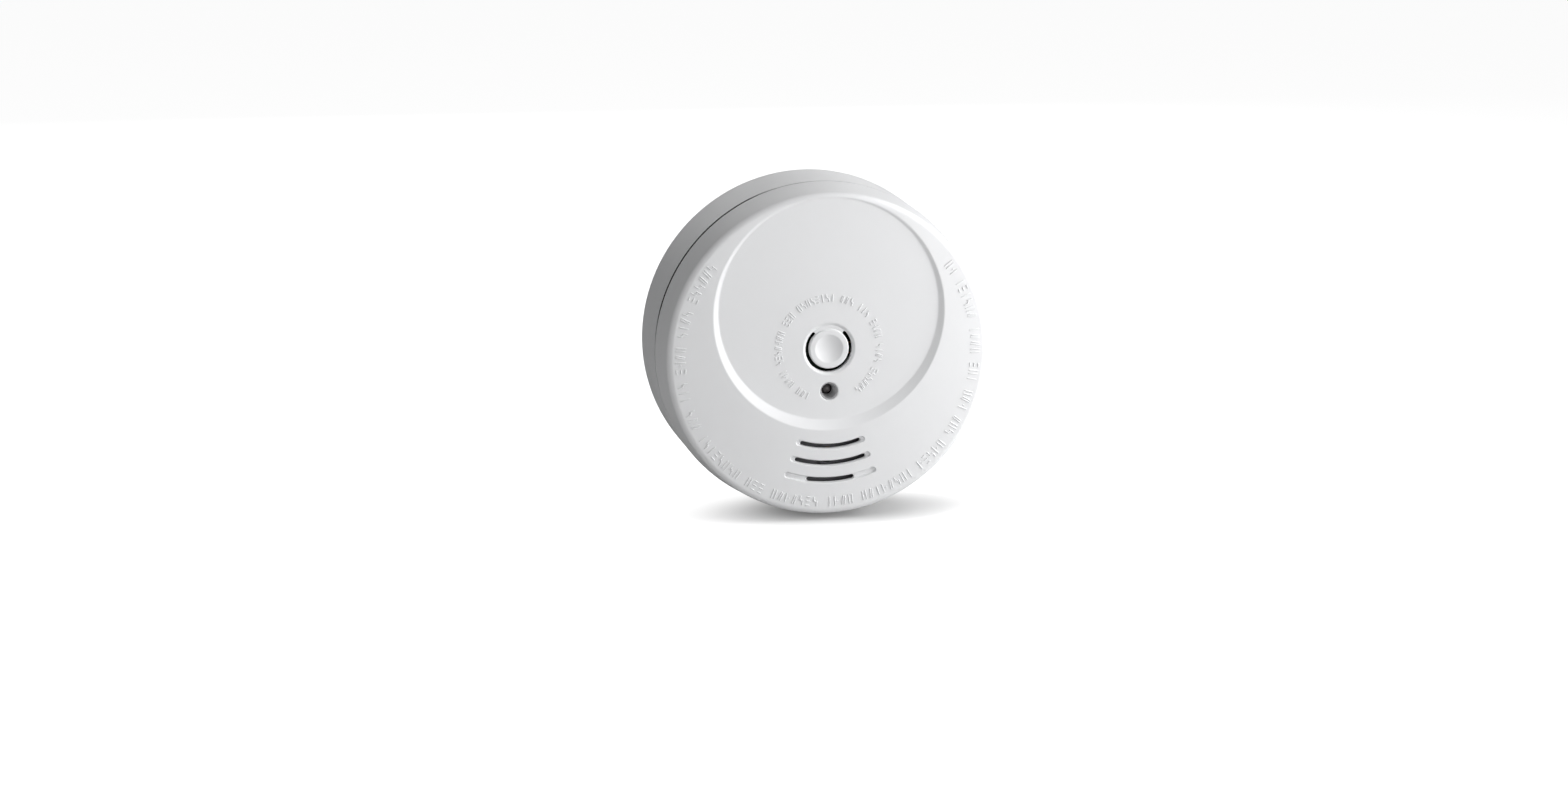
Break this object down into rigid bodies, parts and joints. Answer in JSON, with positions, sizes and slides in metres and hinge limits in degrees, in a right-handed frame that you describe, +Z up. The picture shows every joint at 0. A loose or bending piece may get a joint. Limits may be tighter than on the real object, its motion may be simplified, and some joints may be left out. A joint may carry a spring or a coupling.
{
  "type": "smoke detector",
  "caption": "Round wall or ceiling smoke alarm with an off-centre dished face, living-hinge test button, sound slots, bayonet plate and block battery.",
  "frame": {"origin": "centre of the mounting plate's screw pattern, on its back face, on the detector's axis", "axes": "+Y into the wall along the detector's axis, -Y out of the face into the room, +Z up past the test button's hinge, +X right seen from the room"},
  "size_m": [0.1, 0.0367, 0.1],
  "materials": {
    "plate_plastic": "moulded, fine matt",
    "housing_plastic": "moulded, satin",
    "cover_plastic": "moulded, satin",
    "button_plastic": "moulded, satin",
    "black_plastic": "matt black",
    "plunger_plastic": "matt",
    "board_laminate": "solder mask on glass fibre",
    "plated_steel": "zinc plated",
    "chip_epoxy": "moulded epoxy",
    "capacitor_sleeve": "shrunk sleeve",
    "ferrite": "sintered",
    "resistor_lacquer": "lacquered",
    "ceramic_coating": "dipped coating",
    "led_resin": "tinted resin",
    "spacer_plastic": "matt",
    "funnel_plastic": "matt grey",
    "clear_resin": "clear resin",
    "dark_resin": "infrared filter resin",
    "screen_mesh": "woven wire",
    "horn_plastic": "natural moulding",
    "brass_sheet": "rolled",
    "piezo_silver": "silvered ceramic",
    "battery_jacket": "printed sleeve",
    "nickel": "nickel plated"
  },
  "bodies": {
    "plate": {"mounting_plate": "plate_plastic"},
    "head": {"rear_housing": "housing_plastic", "front_cover": "cover_plastic", "switch_body": "black_plastic", "circuit_board": "board_laminate", "board_screws": "plated_steel", "control_chip": "chip_epoxy", "electrolytic_capacitors": "capacitor_sleeve", "horn_choke": "ferrite", "resistors": "resistor_lacquer", "ceramic_capacitors": "ceramic_coating", "transistors": "chip_epoxy", "reverse_diode": "chip_epoxy", "indicator_led": "led_resin", "led_spacer": "spacer_plastic", "lamp_funnel": "funnel_plastic", "chamber_base": "black_plastic", "infrared_emitter": "clear_resin", "photodiode": "dark_resin", "chamber_cap": "black_plastic", "insect_screen": "screen_mesh", "horn_cup": "horn_plastic", "piezo_disc": "brass_sheet", "piezo_ceramic": "piezo_silver", "horn_pins": "plated_steel", "horn_cap": "horn_plastic", "positive_contact": "nickel", "negative_contact": "nickel"},
    "button": {"test_button": "button_plastic"},
    "plunger": {"switch_plunger": "plunger_plastic"},
    "battery": {"battery_case": "battery_jacket", "battery_snaps": "nickel"}
  },
  "joints": [
    {"name": "head_twist", "type": "hinge", "parent": "plate", "child": "head", "pos_m": [0, 0, 0], "axis": [0, -1, 0], "range_deg": [0, 18]},
    {"name": "button_press", "type": "hinge", "parent": "head", "child": "button", "pos_m": [0, -0.03445, 0.00865], "axis": [1, 0, 0], "range_deg": [0, 4], "stiffness_Nm_per_rad": 0.3},
    {"name": "plunger_travel", "type": "slide", "parent": "head", "child": "plunger", "axis": [0, 1, 0], "range_m": [0, 0.0005]},
    {"name": "battery_slide", "type": "slide", "parent": "head", "child": "battery", "axis": [0, 1, 0], "range_m": [0, 0.02]}
  ],
  "couplings": [
    {"joint": "plunger_travel", "follows": "button_press", "m_per_rad": 0.00675}
  ]
}
